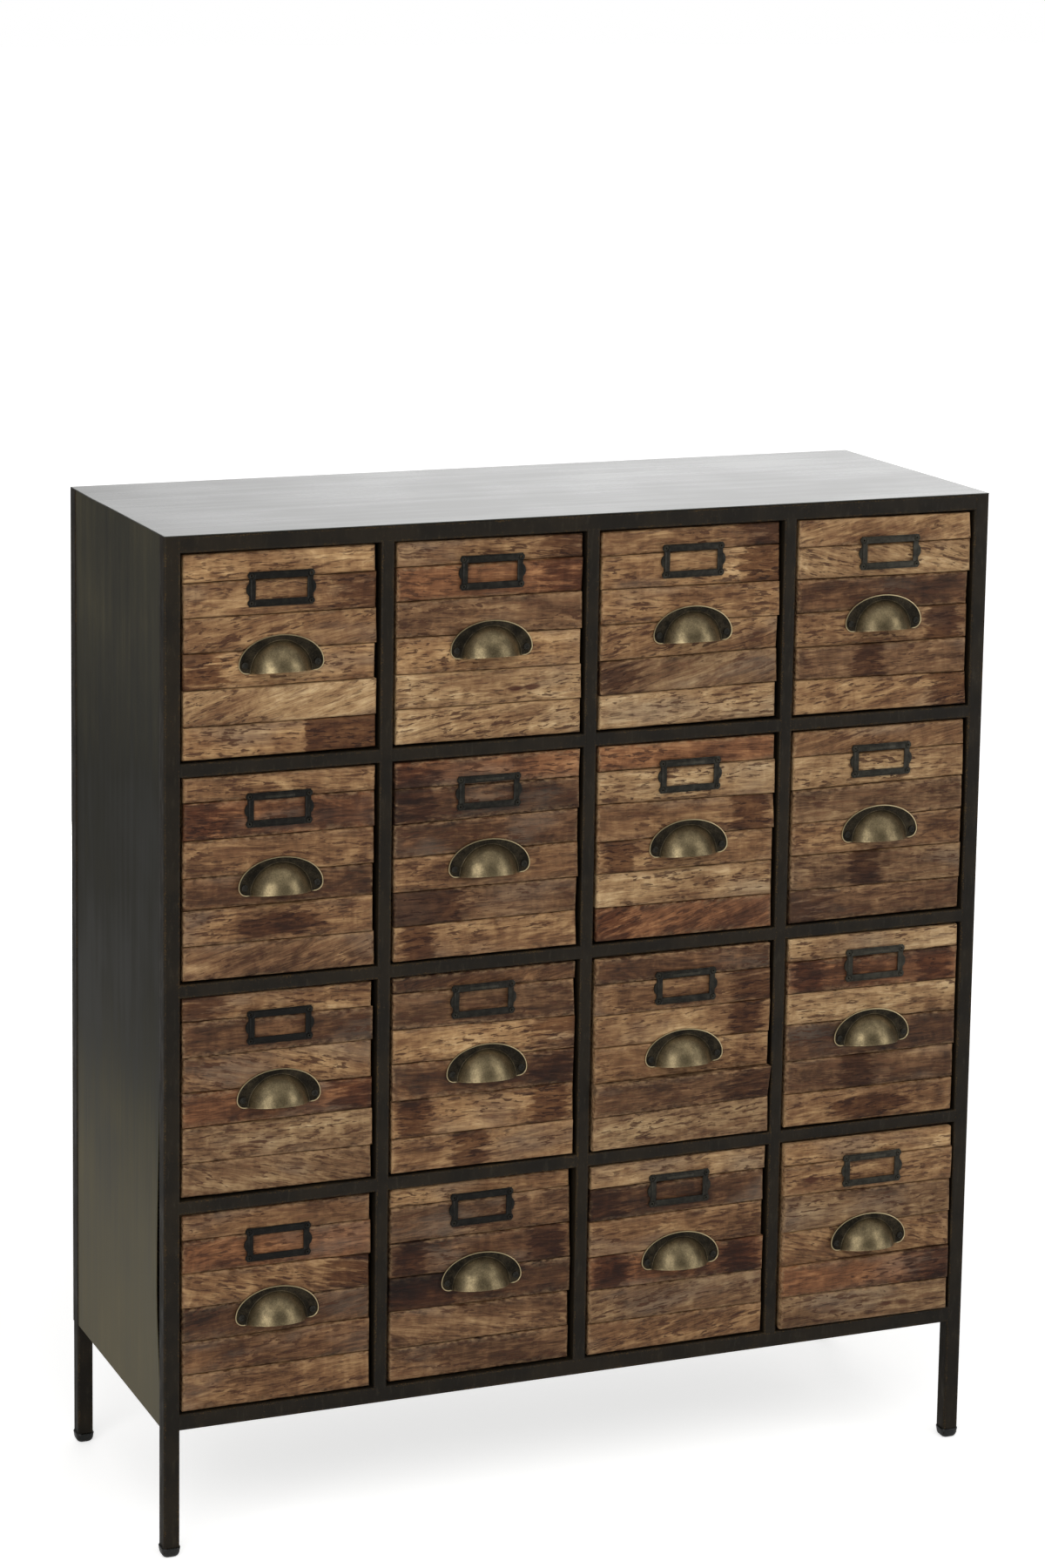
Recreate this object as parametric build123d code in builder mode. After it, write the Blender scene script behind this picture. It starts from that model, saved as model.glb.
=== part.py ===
"""A parts cabinet: a welded square-tube frame closed with sheet steel, which holds a grid of wooden drawers.

Each drawer has a front of uneven reclaimed planks, a stamped cup pull and a stamped label holder, and slides
out on a pair of steel angles. Millimetres, +Z up, fronts towards -Y. The origin is on the floor, in the middle
of the whole footprint, pulls and feet included. Drawers are named by row from the top and column from the left.
"""

import os
from math import atan, degrees

from build123d import *

os.makedirs("parts", exist_ok=True)

# Steel case, over the posts and the top sheet
case_width = 1030
case_depth = 370
case_height = 1187
leg_height = 152
columns = 4
rows = 4

# Tube and sheet
post_tube = 19
divider_face = 16
tube_wall = 1.5
tube_corner = 1.8
sheet = 1.2
side_panel_recess = 0.8
bottom_panel_rise = 6

# Foot caps, slipped over the ends of the posts
foot_height = 12
foot_floor = 6
foot_rim = 23
foot_base = 19
foot_corner = 2.6
foot_edge = 2.4
foot_clearance = 0.1

# Drawer runners, steel angle
runner_ledge = 13
runner_upright = 20
runner_wall = 1.5

# Drawer box
drawer_stop_gap = 3.8
box_height = 176
box_clearance = 4
runner_clearance = 0.3
side_board = 12
back_board = 12
bottom_board = 6
bottom_rise = 9
groove_depth = 5

# Drawer front: planks glued to a backing board
front_side_gap = 3.5
front_end_gap = 2
backing_board = 12
backing_inset = 1.5
plank_thin = 7
plank_spread = 5
plank_edge = 2
seam_gap = 0.3
setback_spread = 5

# Cup pull, stamped in one piece
pull_width = 101
pull_height = 43
pull_corner = 10
pull_wall = 1.3
pull_drop = 94
cup_width = 72
cup_reach = 26
cup_blend = 1.5
cup_lip_rise = 4.5
pull_screw_spacing = 86
pull_screw_hole = 4.2

# Label holder, stamped in one piece
holder_height = 39.6
holder_waist = 75
holder_corner_span = 78.8
holder_corner_ear = 4.2
holder_side_span = 82
holder_side_ear = 9.5
holder_plate = 2
holder_rise = 3.8
holder_frame_width = 73
holder_frame_height = 37
holder_bevel = 1.2
window_width = 61
window_height = 23
window_bevel = 1
card_slot_width = 64
card_slot_depth = 1.1
card_slot_foot = 4
pin_seat = 6.8
pin_hole = 1.8
holder_drop = 40

# How far the fittings were set by eye from their marks, and their seat on the planks
fitting_play = 7
fitting_gap = 0.05

# Height of each drawer's planks from the top down, in parts of the front's height
plank_height_shares = (
    (
        (32, 40, 40, 41, 41, 38),
        (28, 39, 42, 41, 40, 40),
        (28, 41, 41, 41, 40, 42),
        (32, 39, 40, 41, 40, 41),
    ),
    (
        (29, 43, 43, 38, 42, 40),
        (32, 40, 40, 41, 41, 41),
        (30, 40, 43, 39, 41, 40),
        (30, 39, 40, 41, 43, 39),
    ),
    (
        (29, 40, 43, 39, 42, 40),
        (20, 42, 40, 42, 45, 41),
        (31, 38, 40, 42, 41, 42),
        (28, 40, 39, 44, 42, 41),
    ),
    (
        (31, 40, 40, 40, 39, 42),
        (22, 43, 41, 41, 43, 39),
        (28, 40, 44, 42, 41, 38),
        (27, 39, 44, 44, 40, 40),
    ),
)

# Kinds of plank by how proud the lower and the upper edge stand, as shares of plank_spread
plank_kind_shares = {
    "low": (0.2, 0.2),
    "mid": (0.5, 0.5),
    "high": (0.8, 0.8),
    "brow": (0.4, 0.9),
    "sill": (0.9, 0.3),
    "wedge": (0.5, 2.2),
}
plank_kinds = (
    (
        "low mid mid mid high mid",
        "low brow mid high high high",
        "low mid high brow sill mid",
        "sill high mid mid high sill",
    ),
    (
        "mid mid high low mid sill",
        "mid mid mid sill mid sill",
        "mid high sill high high sill",
        "mid mid high high mid low",
    ),
    (
        "low mid mid mid high mid",
        "low sill high high sill high",
        "mid mid mid mid wedge mid",
        "mid mid mid sill mid high",
    ),
    (
        "mid mid mid low mid high",
        "low mid sill brow high high",
        "mid mid mid mid sill mid",
        "mid high high low high high",
    ),
)
flush_share = 0.5

# How far each drawer is pushed in past the frame's face, as shares of setback_spread
setback_shares = (
    (0.4, 0.4, 0.4, 0.2),
    (0.2, 0.2, 0.2, -0.2),
    (0.6, 0.4, -0.6, -0.2),
    (0.6, 1.0, 0.2, -1.0),
)

# Right and down from the mark for each drawer's holder and pull, as shares of fitting_play
holder_shift_shares = (
    ((-0.1, 0.4), (0, -0.3), (0.1, -0.2), (0.6, 0.3)),
    ((-0.3, 0.1), (0, 0.1), (0.2, 0), (0.1, 0)),
    ((0.1, 0), (-0.5, -0.9), (0.1, 0.2), (0.1, -0.3)),
    ((0, 0.5), (0, -1), (0, -0.3), (0.3, 0)),
)
pull_shift_shares = (
    ((0, 0.2), (0.1, 0), (0.2, -0.3), (-0.1, -0.1)),
    ((0, 0.3), (0.2, 0.3), (0.2, -0.1), (0.1, 0.2)),
    ((0, -0.4), (0.3, -1), (0.1, 0), (-0.2, 0)),
    ((-0.1, 0.3), (0, -1), (0.5, -0.2), (0, 0.4)),
)

# Levels and cells that follow from the sizes above
frame_top = case_height - sheet
cell_width = (case_width - 2 * post_tube - (columns - 1) * divider_face) / columns
cell_height = (frame_top - leg_height - 2 * post_tube - (rows - 1) * divider_face) / rows
front_width = cell_width - 2 * front_side_gap
front_height = cell_height - 2 * front_end_gap
drawer_length = case_depth - sheet - post_tube - drawer_stop_gap
box_width = cell_width - 2 * box_clearance
left = -case_width / 2
right = case_width / 2


def entry(table, row, column):
    """A drawer's entry in a table; a grid larger than the table repeats it."""
    return table[row % len(table)][column % len(table[0])]


def cell_left(column):
    return left + post_tube + column * (cell_width + divider_face)


def cell_floor(row):
    return frame_top - post_tube - (row + 1) * cell_height - row * divider_face


def front_top(row):
    return cell_floor(row) + front_end_gap + front_height


def planks_of(row, column):
    """Lower and upper level and thickness of each plank of a drawer's front, from the top down."""
    heights = entry(plank_height_shares, row, column)
    planks = []
    high = front_top(row)
    for height, kind in zip(heights, entry(plank_kinds, row, column).split()):
        low = high - front_height * height / sum(heights)
        thickness = [plank_thin + share * plank_spread for share in plank_kind_shares[kind]]
        planks.append((low, high, thickness[0], thickness[1]))
        high = low
    return planks


def seat_thickness(row, column, low, high):
    """How far the most proud plank between two levels stands off the backing board."""
    proud = []
    for bottom, top, thick_bottom, thick_top in planks_of(row, column):
        if bottom < high and top > low:
            for level in (max(bottom, low), min(top, high)):
                rise = (level - bottom) / (top - bottom)
                proud.append(thick_bottom + rise * (thick_top - thick_bottom))
    return max(proud)


def fitting_place(row, column, shifts, drop):
    """Centre across and level of a fitting that is set drop below the top of its drawer's front."""
    across, down = entry(shifts, row, column)
    x = cell_left(column) + cell_width / 2 + across * fitting_play
    return x, front_top(row) - drop - down * fitting_play


def pull_place(row, column):
    """Centre, lower edge and seat of a drawer's pull, the seat as a distance off the backing board."""
    x, top = fitting_place(row, column, pull_shift_shares, pull_drop)
    low = top - pull_height
    return x, low, seat_thickness(row, column, low, top) + fitting_gap


def holder_place(row, column):
    """Centre, middle level and seat of a drawer's label holder."""
    x, middle = fitting_place(row, column, holder_shift_shares, holder_drop)
    half = holder_height / 2
    return x, middle, seat_thickness(row, column, middle - half, middle + half) + fitting_gap


def backing_setback(row, column):
    """How far a drawer's backing board stands behind the frame's face."""
    return plank_thin + flush_share * plank_spread + entry(setback_shares, row, column) * setback_spread


# The frame's face, set so that the pulls and the rear feet reach equally far from the origin
cells = [(row, column) for row in range(rows) for column in range(columns)]
pull_reach = max(pull_place(*cell)[2] + cup_reach - backing_setback(*cell) for cell in cells)
foot_overhang = (foot_rim - post_tube) / 2
foot_flare = degrees(atan((foot_rim - foot_base) / 2 / foot_height))
front = (pull_reach - case_depth - max(foot_overhang - sheet, 0)) / 2
back = front + case_depth
rear_face = back - sheet
rail_levels = (leg_height + post_tube / 2, frame_top - post_tube / 2)
post_x = (left + post_tube / 2, right - post_tube / 2)
front_post_y = front + post_tube / 2
rear_post_y = rear_face - post_tube / 2
divider_x = [cell_left(column) - divider_face / 2 for column in range(1, columns)]


def write_node(name, pieces):
    """Writes the solids of one node to its own file."""
    node = pieces[0] if len(pieces) == 1 else Compound(children=pieces)
    node.label = name
    export_step(node, f"parts/{name}.step")


def tube(start, width, height, length):
    """A straight run of rectangular tube from the plane of its end."""
    with BuildPart() as run:
        with BuildSketch(start):
            RectangleRounded(width, height, tube_corner)
            Rectangle(width - 2 * tube_wall, height - 2 * tube_wall, mode=Mode.SUBTRACT)
        extrude(amount=length)
    return run.part


def upright(x, y, low, high, face):
    """A tube that stands between two levels."""
    return tube(Plane(origin=(x, y, low), x_dir=(1, 0, 0), z_dir=(0, 0, 1)), face, post_tube, high - low)


def crosswise(x_low, x_high, y, z, face):
    """A tube that runs from left to right."""
    start = Plane(origin=(x_low, y, z), x_dir=(0, 1, 0), z_dir=(1, 0, 0))
    return tube(start, post_tube, face, x_high - x_low)


def board(low, high):
    """A plain board or sheet between two corners."""
    with BuildPart() as piece:
        with BuildSketch(Plane.XY.offset(low[2])):
            with Locations(((low[0] + high[0]) / 2, (low[1] + high[1]) / 2)):
                Rectangle(high[0] - low[0], high[1] - low[1])
        extrude(amount=high[2] - low[2])
    return piece.part


def foot(x, y):
    """A flared cap with a rounded base and a square socket for the end of a post."""
    with BuildPart() as cap:
        with BuildSketch(Plane((x, y, 0))):
            RectangleRounded(foot_base, foot_base, foot_corner)
        extrude(amount=foot_height, taper=-foot_flare)
        fillet(cap.faces().sort_by(Axis.Z)[0].edges(), foot_edge)
        socket = post_tube + 2 * foot_clearance
        with BuildSketch(Plane((x, y, foot_floor))):
            RectangleRounded(socket, socket, tube_corner + foot_clearance)
        extrude(amount=foot_height, mode=Mode.SUBTRACT)
    return cap.part


def runner(column, row, side):
    """A steel angle welded behind the frame: its ledge carries one side of a drawer. side is -1 or +1."""
    edge = cell_left(column) + (cell_width if side > 0 else 0)
    floor = cell_floor(row)
    start = Plane(origin=(edge, front + post_tube, floor), x_dir=(1, 0, 0), z_dir=(0, 1, 0))
    with BuildPart() as angle:
        with BuildSketch(start):
            with BuildLine():
                Polyline(
                    (side * runner_wall, 0),
                    (side * runner_wall, -runner_upright),
                    (0, -runner_upright),
                    (0, -runner_wall),
                    (-side * runner_ledge, -runner_wall),
                    (-side * runner_ledge, 0),
                    close=True,
                )
            make_face()
        extrude(amount=rear_face - front - 2 * post_tube)
    return angle.part


def plank(x_low, x_high, face, low, high, thick_low, thick_high):
    """A plank with its back on the backing board's face and its front edges rounded over."""
    with BuildPart() as piece:
        with BuildSketch(Plane.YZ.offset(x_low)) as profile:
            Polygon((face, low), (face - thick_low, low), (face - thick_high, high), (face, high))
            fillet(profile.vertices().sort_by(Axis.X)[:2], plank_edge)
        extrude(amount=x_high - x_low)
    return piece.part


def grooved_side(outer, inner, y_low, y_high, low):
    """A side board of a drawer, with the groove that holds the bottom in its inner face."""
    inward = 1 if inner > outer else -1
    with BuildPart() as side:
        with BuildSketch(Plane.XY.offset(low)):
            with Locations(((outer + inner) / 2, (y_low + y_high) / 2)):
                Rectangle(side_board, y_high - y_low)
        extrude(amount=box_height)
        with BuildSketch(Plane.XY.offset(low + bottom_rise)):
            with Locations((inner - inward * groove_depth / 2, (y_low + y_high) / 2)):
                Rectangle(groove_depth, y_high - y_low)
        extrude(amount=bottom_board, mode=Mode.SUBTRACT)
    return side.part


def drawer_case(row, column):
    """The glued-up wooden drawer: planks, backing board, grooved sides, back and bottom."""
    face = front + backing_setback(row, column)
    x_low = cell_left(column) + front_side_gap
    x_high = x_low + front_width
    boards = []
    for low, high, thick_low, thick_high in planks_of(row, column):
        lower = low + seam_gap / 2
        upper = high - seam_gap / 2
        boards.append(plank(x_low, x_high, face, lower, upper, thick_low, thick_high))
    front_low = cell_floor(row) + front_end_gap + backing_inset
    front_high = front_top(row) - backing_inset
    box_start = face + backing_board
    boards.append(board((x_low + backing_inset, face, front_low), (x_high - backing_inset, box_start, front_high)))
    box_end = front + entry(setback_shares, row, column) * setback_spread + drawer_length
    box_low = cell_floor(row) + runner_wall + runner_clearance
    box_left = cell_left(column) + box_clearance
    box_right = box_left + box_width
    inner_left = box_left + side_board
    inner_right = box_right - side_board
    boards.append(grooved_side(box_left, inner_left, box_start, box_end, box_low))
    boards.append(grooved_side(box_right, inner_right, box_start, box_end, box_low))
    bottom_low = box_low + bottom_rise
    bottom_top = bottom_low + bottom_board
    boards.append(
        board(
            (inner_left - groove_depth, box_start, bottom_low),
            (inner_right + groove_depth, box_end, bottom_top),
        )
    )
    back_start = box_end - back_board
    boards.append(board((inner_left, back_start, bottom_top), (inner_right, box_end, box_low + box_height)))
    return boards


def facing(x, y, z):
    """A plane that faces out of the drawer front: x to the right, y up."""
    return Plane(origin=(x, y, z), x_dir=(1, 0, 0), z_dir=(0, -1, 0))


def cup_pull(row, column):
    """A stamped cup pull: an arched flange and half of a hollow round cap, open below and lifted at the lip."""
    x, low, seat = pull_place(row, column)
    back_face = front + backing_setback(row, column) - seat
    half_cup = cup_width / 2
    cup_round = (half_cup**2 + cup_reach**2) / (2 * cup_reach)
    cup_centre = cup_round - cup_reach
    with BuildPart() as pull:
        with BuildSketch(facing(x, back_face, low)):
            half = pull_width / 2
            with BuildLine():
                EllipticalCenterArc((0, pull_corner), half, pull_height - pull_corner, arc_size=180)
                CenterArc((-half + pull_corner, pull_corner), pull_corner, 180, 90)
                Line((-half + pull_corner, 0), (half - pull_corner, 0))
                CenterArc((half - pull_corner, pull_corner), pull_corner, 270, 90)
            make_face()
            with Locations((0, pull_corner)):
                with GridLocations(pull_screw_spacing, 0, 2, 1):
                    Circle(pull_screw_hole / 2, mode=Mode.SUBTRACT)
        extrude(amount=pull_wall)
        with BuildSketch(Plane(origin=(x, back_face, low), x_dir=(1, 0, 0), z_dir=(0, 0, -1))):
            with BuildLine():
                Polyline((0, cup_reach), (0, 0), (half_cup, 0))
                RadiusArc((half_cup, 0), (0, cup_reach), -cup_round)
            make_face()
        revolve(axis=Axis((x, back_face, low), (0, -1, 0)), revolution_arc=180)
        rim = pull.edges().filter_by(GeomType.CIRCLE).filter_by(lambda e: e.radius > half_cup / 2)
        fillet(rim.filter_by(lambda e: e.center().Y < back_face).sort_by(Axis.Y)[-1], cup_blend)
        with Locations((x, back_face + cup_centre, low)):
            Sphere(cup_round - pull_wall, mode=Mode.SUBTRACT)
        plate_face = back_face - pull_wall
        tip = back_face - cup_reach
        with BuildSketch(Plane.YZ.offset(x - half_cup)):
            Polygon((plate_face, low), (tip, low), (tip, low + cup_lip_rise))
        extrude(amount=cup_width, mode=Mode.SUBTRACT)
    return pull.part


def label_holder(row, column):
    """A stamped label holder: an eared plate, a raised frame round the window, a card slot open at the top."""
    x, middle, seat = holder_place(row, column)
    back_face = front + backing_setback(row, column) - seat
    ear_x = holder_corner_span - 2 * holder_corner_ear
    ear_z = holder_height - 2 * holder_corner_ear
    with BuildPart() as holder:
        with BuildSketch(facing(x, back_face, middle)):
            Rectangle(holder_waist, holder_height)
            with GridLocations(ear_x, ear_z, 2, 2):
                Circle(holder_corner_ear)
            with GridLocations(holder_side_span - 2 * holder_side_ear, 0, 2, 1):
                Circle(holder_side_ear)
        extrude(amount=holder_plate)
        with BuildSketch(facing(x, back_face, middle)):
            Rectangle(holder_frame_width, holder_frame_height)
            with GridLocations(ear_x, ear_z, 2, 2):
                Circle(pin_seat / 2, mode=Mode.SUBTRACT)
        extrude(amount=holder_rise)
        chamfer(holder.faces().sort_by(Axis.Y)[0].edges(), holder_bevel)
        with BuildSketch(facing(x, back_face, middle)):
            Rectangle(window_width, window_height)
        extrude(amount=holder_rise, mode=Mode.SUBTRACT)
        crest = holder.faces().sort_by(Axis.Y)[0]
        chamfer(crest.inner_wires()[0].edges(), window_bevel)
        with BuildSketch(facing(x, back_face, middle + card_slot_foot)):
            Rectangle(card_slot_width, holder_height)
        extrude(amount=card_slot_depth, mode=Mode.SUBTRACT)
        with BuildSketch(facing(x, back_face, middle)):
            with GridLocations(ear_x, ear_z, 2, 2):
                Circle(pin_hole / 2)
        extrude(amount=holder_plate, mode=Mode.SUBTRACT)
    return holder.part


# Frame
write_node("front_posts", [upright(x, front_post_y, foot_floor, frame_top, post_tube) for x in post_x])
write_node("rear_posts", [upright(x, rear_post_y, foot_floor, frame_top, post_tube) for x in post_x])

rail_left = left + post_tube
rail_right = right - post_tube
divider_low = leg_height + post_tube
divider_high = frame_top - post_tube
front_grid = [crosswise(rail_left, rail_right, front_post_y, z, post_tube) for z in rail_levels]
front_grid += [upright(x, front_post_y, divider_low, divider_high, divider_face) for x in divider_x]
for row in range(rows - 1):
    for column in range(columns):
        start = cell_left(column)
        level = cell_floor(row) - divider_face / 2
        front_grid.append(crosswise(start, start + cell_width, front_post_y, level, divider_face))
write_node("front_grid", front_grid)

rear_frame = [crosswise(rail_left, rail_right, rear_post_y, z, post_tube) for z in rail_levels]
rear_frame += [upright(x, rear_post_y, divider_low, divider_high, divider_face) for x in divider_x]
write_node("rear_frame", rear_frame)

side_rail_inset = side_panel_recess + sheet + post_tube / 2
side_rails = []
for x in (left + side_rail_inset, right - side_rail_inset):
    for z in rail_levels:
        start = Plane(origin=(x, front + post_tube, z), x_dir=(1, 0, 0), z_dir=(0, 1, 0))
        side_rails.append(tube(start, post_tube, post_tube, rear_face - front - 2 * post_tube))
write_node("side_rails", side_rails)

runners = [runner(column, row, side) for row, column in cells for side in (-1, 1)]
write_node("drawer_runners", runners)

# Sheet steel
panel_start = front + post_tube
panel_end = rear_face - post_tube
outer_left = left + side_panel_recess
outer_right = right - side_panel_recess
write_node("top_panel", [board((left, front, frame_top), (right, back, case_height))])
write_node("back_panel", [board((left, rear_face, leg_height), (right, back, frame_top))])
write_node(
    "left_side_panel",
    [board((outer_left, panel_start, leg_height), (outer_left + sheet, panel_end, frame_top))],
)
write_node(
    "right_side_panel",
    [board((outer_right - sheet, panel_start, leg_height), (outer_right, panel_end, frame_top))],
)
bottom_left = outer_left + sheet + post_tube
bottom_level = leg_height + bottom_panel_rise
write_node(
    "bottom_panel",
    [board((bottom_left, panel_start, bottom_level), (-bottom_left, panel_end, bottom_level + sheet))],
)

write_node("feet", [foot(x, y) for y in (front_post_y, rear_post_y) for x in post_x])

# Drawers
for row, column in cells:
    place = f"r{row + 1}c{column + 1}"
    write_node(f"drawer_case_{place}", drawer_case(row, column))
    write_node(f"cup_pull_{place}", [cup_pull(row, column)])
    write_node(f"label_holder_{place}", [label_holder(row, column)])
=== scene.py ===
"""A drawer cabinet dressed for pictures: a worn steel case and sixteen drawers faced with reclaimed planks.

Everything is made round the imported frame, in metres, +Z up, fronts towards -Y. Drawers are named by row from
the top and column from the left, as the frame names them.
"""

import math
import random

import bmesh
import bpy
from mathutils import Matrix, Vector, noise


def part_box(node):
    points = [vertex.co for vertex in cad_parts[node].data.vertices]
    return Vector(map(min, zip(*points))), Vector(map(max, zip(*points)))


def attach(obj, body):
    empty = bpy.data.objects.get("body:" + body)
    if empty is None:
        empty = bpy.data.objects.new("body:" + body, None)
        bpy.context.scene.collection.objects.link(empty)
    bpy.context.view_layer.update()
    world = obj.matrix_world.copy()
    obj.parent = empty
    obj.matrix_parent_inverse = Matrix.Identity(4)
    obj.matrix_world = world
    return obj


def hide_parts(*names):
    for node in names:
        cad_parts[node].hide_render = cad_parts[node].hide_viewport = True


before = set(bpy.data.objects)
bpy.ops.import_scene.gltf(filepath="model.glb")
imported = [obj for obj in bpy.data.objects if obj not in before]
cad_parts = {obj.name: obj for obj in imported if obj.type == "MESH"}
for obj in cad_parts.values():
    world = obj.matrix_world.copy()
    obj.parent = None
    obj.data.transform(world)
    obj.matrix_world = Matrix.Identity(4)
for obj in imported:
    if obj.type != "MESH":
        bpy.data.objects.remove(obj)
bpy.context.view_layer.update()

mm = 0.001
rows = 4
columns = 4
merge_close = 0.01 * mm
merge_same = 0.001 * mm
smooth_below = math.radians(35)
aligned_share = 0.9

# Steel tube and sheet
tube_corner = 1.8 * mm
worn_band = 2.4 * mm
weld_reach = 3 * mm
weld_dip = 0.04 * mm
long_rail = 500 * mm
flat_face_share = 0.4
sheet_lip = 0.35 * mm
top_cuts = (50, 18, 0)
left_cuts = (0, 24, 60)
right_cuts = (0, 12, 30)
top_wave = 0.2 * mm
side_wave = 0.3 * mm
top_wave_pitch = (3, 6)
side_wave_pitch = (5, 3)

# The dent by the top's rear left corner
dent_depth = 0.6 * mm
dent_across = 100 * mm
dent_along = 80 * mm
dent_inset = 90 * mm

# The left sheet's front edge, which has sprung away from the post low down
spring_out = 1.4 * mm
spring_back = 9 * mm
spring_level = 170 * mm
spring_above = 300 * mm
spring_below = 165 * mm
spring_reach = 120 * mm

# Planks on the drawer fronts
planks_per_front = 6
plank_cuts_along = 55
plank_cuts_up = 5
plank_round_least = 2.0 * mm
plank_round_most = 4.4 * mm
left_end_play = 0.9 * mm
right_end_play = 2.6 * mm
plank_edge_wave = 0.9 * mm
plank_slant = 1.1 * mm
front_lean = 0.7 * mm
seam_tilt = 1.5 * mm
plank_face_wave = 0.7 * mm
# Width of the paler band along each plank's edges: partly wear, partly a painted highlight on the rounded
# edges
wear_and_highlight_edge = 4.5 * mm
edge_wave_pitch = 18
face_wave_pitch = (20, 35)
plank_back_margin = 0.5 * mm
plank_face_margin = 1 * mm
plank_inner_share = 0.49
face_wave_lift = 0.6
tone_play = 0.05
grain_play = 40
grain_turn_plain = 3
grain_turn_figured = (7, 16)
# Darkening along each plank's lower and top edges, partly grime and partly painted shade where the seams lie
# in shadow: the range of its strength, and the shares of the plank's height where it starts and is full
low_grime_and_shade_shares = (0.2, 1)
top_grime_and_shade_shares = (-0.3, 0.6)
low_grime_and_shade_rise = (0.3, 0.04)
top_grime_and_shade_rise = (0.8, 0.97)

# Drawer boxes
side_board = 12 * mm
back_board = 12 * mm
bottom_board = 6 * mm
bottom_rise = 9 * mm
groove_depth = 5 * mm
board_edge = 0.8 * mm

# Cup pulls
pull_corner = 10 * mm
cup_width = 72 * mm
cup_reach = 26 * mm
cup_lip_rise = 4.5 * mm
pull_plate = 1.5 * mm
pull_wall = 1.3 * mm
pull_rim = 0.9 * mm
pull_rim_slope = 0.5 * mm
pull_rim_height = 0.55 * mm
pull_edge = 0.4 * mm
pull_screw_spacing = 86 * mm
screw_head = 3.6 * mm
screw_height = 1.3 * mm
screw_recess = 0.8 * mm
screw_dome_share = 0.34
screw_turn = 25
screw_turn_apart = 40
lip_near = 0.3 * mm
arch_steps = 48
toe_steps = 8
mouth_steps = 40
cup_profile_steps = 16
cup_turn_steps = 44

# The lines of the grid that a screw's head starts from, and where each goes to leave room for the slots
screw_grid_shares = {-1.0: -1.0, -0.6: -0.62, -0.2: -0.17, 0.2: 0.17, 0.6: 0.62, 1.0: 1.0}

# How rubbed a pull is: nothing is black, one is bright
field_polish = 0.08
seam_polish = 0.32
rim_polish = 1.15
cup_polish = 0.43
cup_polish_gain = 0.2
lip_polish = 0.75

# Label holders
holder_edge = 0.45 * mm
holder_plate = 2 * mm
holder_flat = math.radians(1)
holder_sharp = math.radians(40)
pin_spacing_across = 70.4 * mm
pin_spacing_up = 31.2 * mm
pin_head = 2.7 * mm
pin_ring = 0.8 * mm
pin_ring_steps = 4
pin_turn_steps = 12
tab_length = 35 * mm
tab_height = 2.8 * mm
tab_rise = 0.35 * mm
tab_level = 15 * mm
tab_depth = 2 * mm
tab_round_share = 0.8

# How pale a holder's iron is: more to the right, and on its pins and tab
pale_by_column = 0.1
pale_play = 0.2
pin_pale = 0.2
tab_pale = 0.3

# Foot caps
foot_corner = 6.5 * mm
foot_round = 5 * mm
foot_rim_round = 0.8 * mm
foot_sole = 3 * mm
foot_upright = 1 * mm
foot_level = 0.1 * mm

# How deep the finishes' relief is
saw_relief = 0.12 * mm
grain_relief = 1.6 * mm
fibre_relief = 0.5 * mm
paint_relief = 0.5 * mm
speck_relief = 0.08 * mm
hair_relief = 0.02 * mm
band_relief = 0.1 * mm
cloud_relief = 0.6 * mm
pit_relief = 0.12 * mm
rub_relief = 0.1 * mm
bloom_relief = 0.3 * mm
dust_relief = 0.15 * mm

# Camera, fitted to the photograph's view of the case
camera_place = (-1.7509, -4.0997, 1.8879)
camera_azimuth = math.radians(-21.58)
camera_elevation = math.radians(9.03)
camera_roll = math.radians(0.67)
camera_lens = 87.4
camera_shift = (0.0556, -0.1833)

# Lamps: name, place, width and height, power, and whether metal mirrors them
lamps = (
    ("left_box", (-2.6, -2.3, 1.55), (1.9, 3.0), 46, True),
    ("right_box", (2.5, -2.5, 1.55), (1.8, 3.2), 25, True),
    ("back_box", (0.6, 3.2, 0.6), (2.2, 1.1), 45, False),
    ("high_box", (-0.2, -2.6, 3.3), (3.2, 2.4), 45, False),
)

# White panels that only the metal mirrors: the way to each, where it starts and is full, and its strength
panels = (
    ((0.54, 0.83, 0.15), 0.9, 0.99, 1.5),
    ((0.0, 0.2, 0.98), 0.2, 0.85, 0.75),
)
room_level = 0.06
room_light = 0.3
lamp_target = Vector((0, 0, 0.65))
floor_half = 40
floor_glow_reach = (1.0, 5.0)
floor_glow = (0.6, 0.95)

# Looks of the planks: how pale, and a tint over the grain's own brown
plank_tones = {
    "pale": (0.7, (1.00, 0.97, 0.93)),
    "honey": (0.63, (1.04, 0.96, 0.87)),
    "tan": (0.51, (1.02, 0.96, 0.89)),
    "umber": (0.24, (1.00, 0.92, 0.86)),
    "clay": (0.38, (0.97, 0.94, 0.92)),
    "rust": (0.38, (1.12, 0.88, 0.77)),
    "ash": (0.48, (0.94, 0.96, 0.97)),
}

# Stains that deepen along a plank: where they start and are full, as shares of its length, and how deep
stain_ramps = {
    "stain_left": (0.42, 0.3, 1.0),
    "stain_right": (0.6, 0.66, 1.0),
    "smoke_left": (0.45, 0.1, 0.75),
    "smoke_right": (0.55, 0.9, 0.75),
}

# Stains in one spot: the middle and half the width, as shares of the plank's length
stain_spots = {
    "blotch_left": (0.12, 0.2),
    "blotch_middle": (0.42, 0.2),
    "blotch_right": (0.86, 0.22),
}
spot_depth = 0.95

# A dark flame: its depth, and the middle and half the width along and up the plank
flame_depth = 1.5
flame_along = (0.5, 0.4)
flame_up = (0.45, 0.55)

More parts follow.
